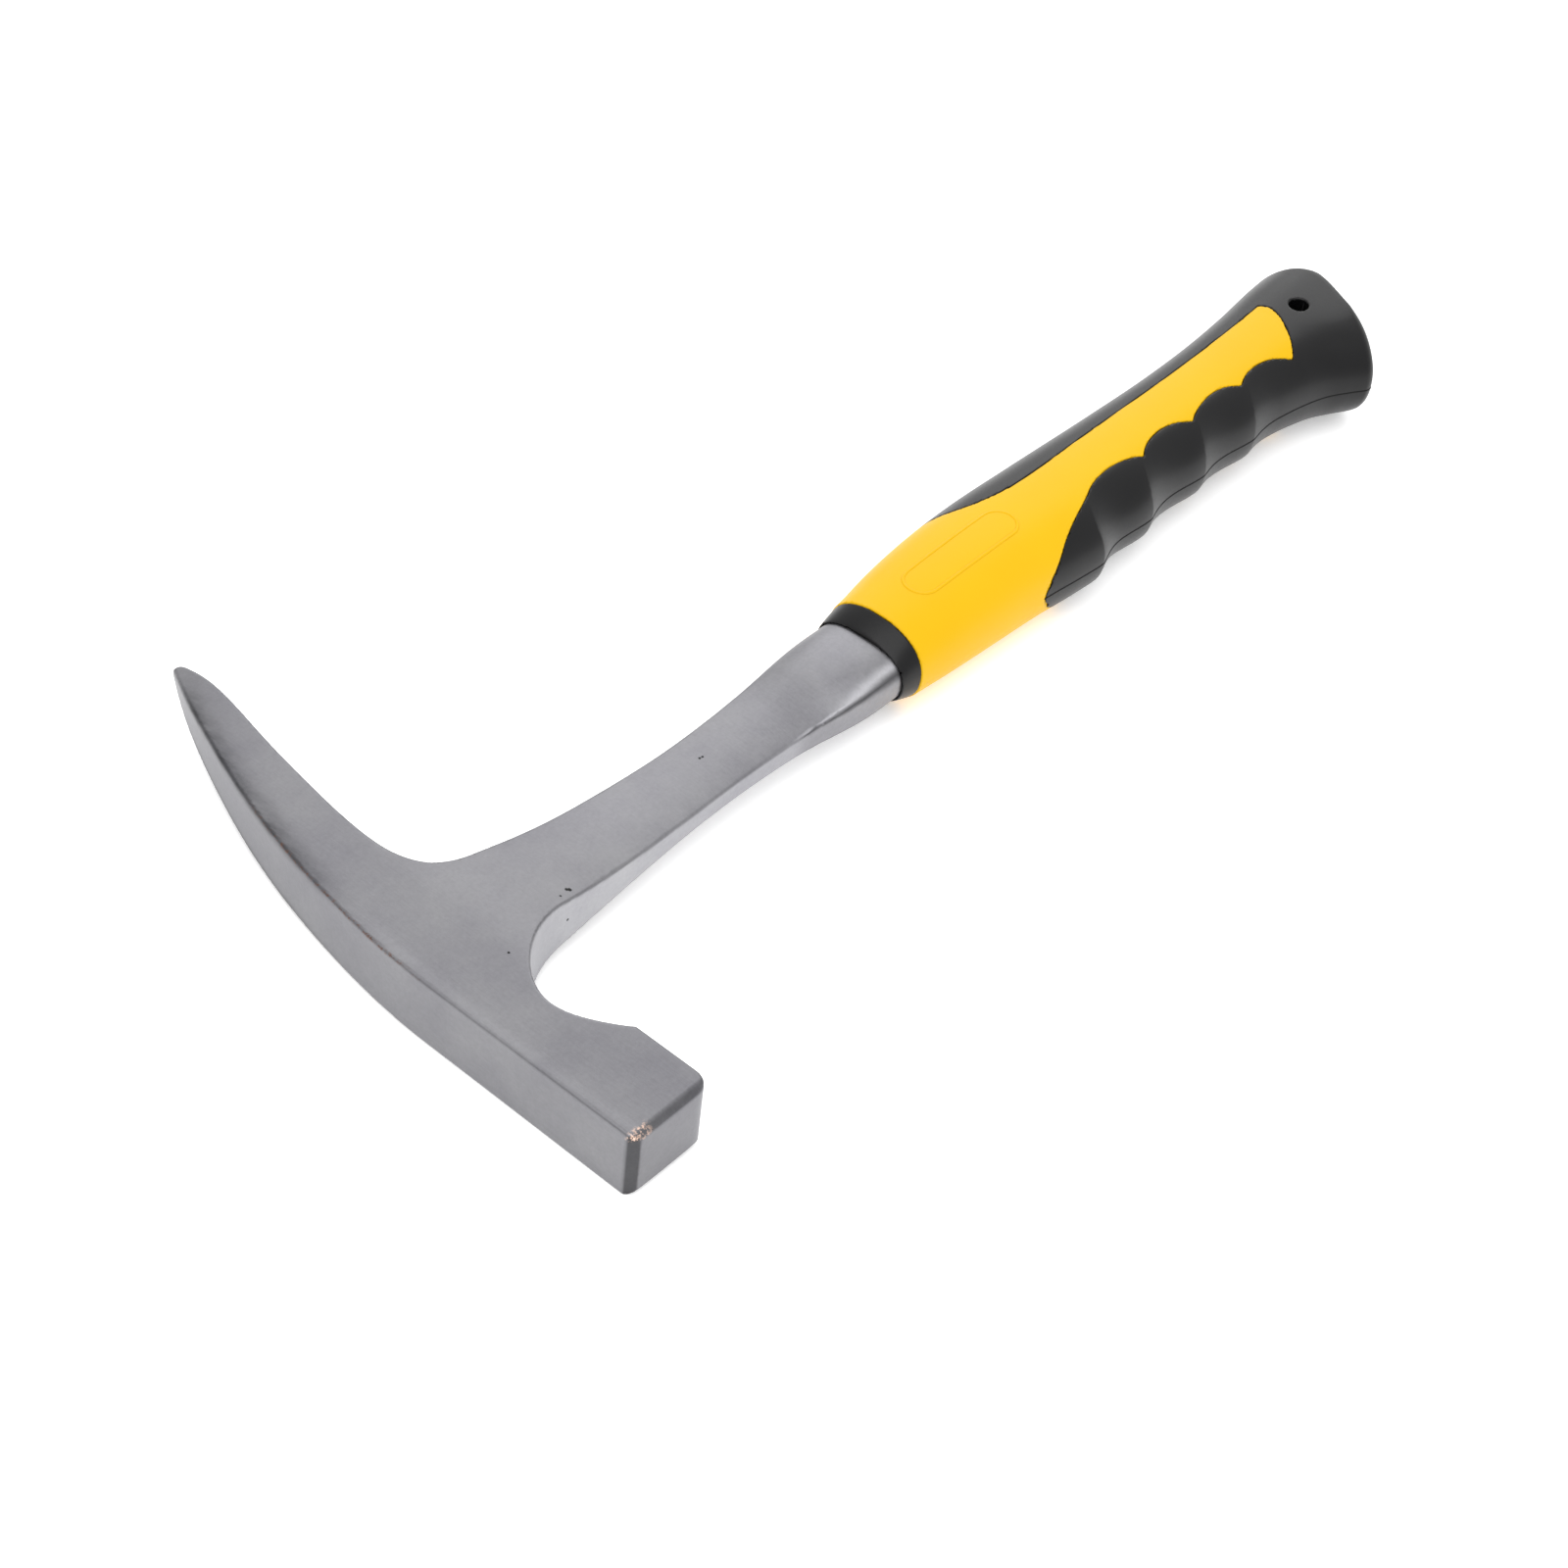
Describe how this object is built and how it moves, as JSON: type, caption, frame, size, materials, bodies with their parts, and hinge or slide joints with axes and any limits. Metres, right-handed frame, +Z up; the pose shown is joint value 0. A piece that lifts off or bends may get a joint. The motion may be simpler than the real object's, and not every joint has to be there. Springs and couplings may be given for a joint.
{
  "type": "brick hammer",
  "caption": "One-piece forged steel masonry hammer with a square striking poll, a long drooping pointed pick and a two-colour moulded grip with a lanyard hole.",
  "frame": {"origin": "centre of the footprint of the hammer lying on its side, on the surface it lies on", "axes": "+X along the handle from the crown of the head to the butt, +Y towards the pick, +Z up"},
  "size_m": [0.3334, 0.1644, 0.0278],
  "materials": {
    "steel": "satin ground forging",
    "yellow_plastic": "smooth satin moulding",
    "black_rubber": "fine matt moulding"
  },
  "bodies": {
    "root": {"forged_head_and_shank": "steel", "grip_core": "yellow_plastic", "grip_overmould": "black_rubber", "front_collar": "black_rubber"}
  },
  "joints": []
}
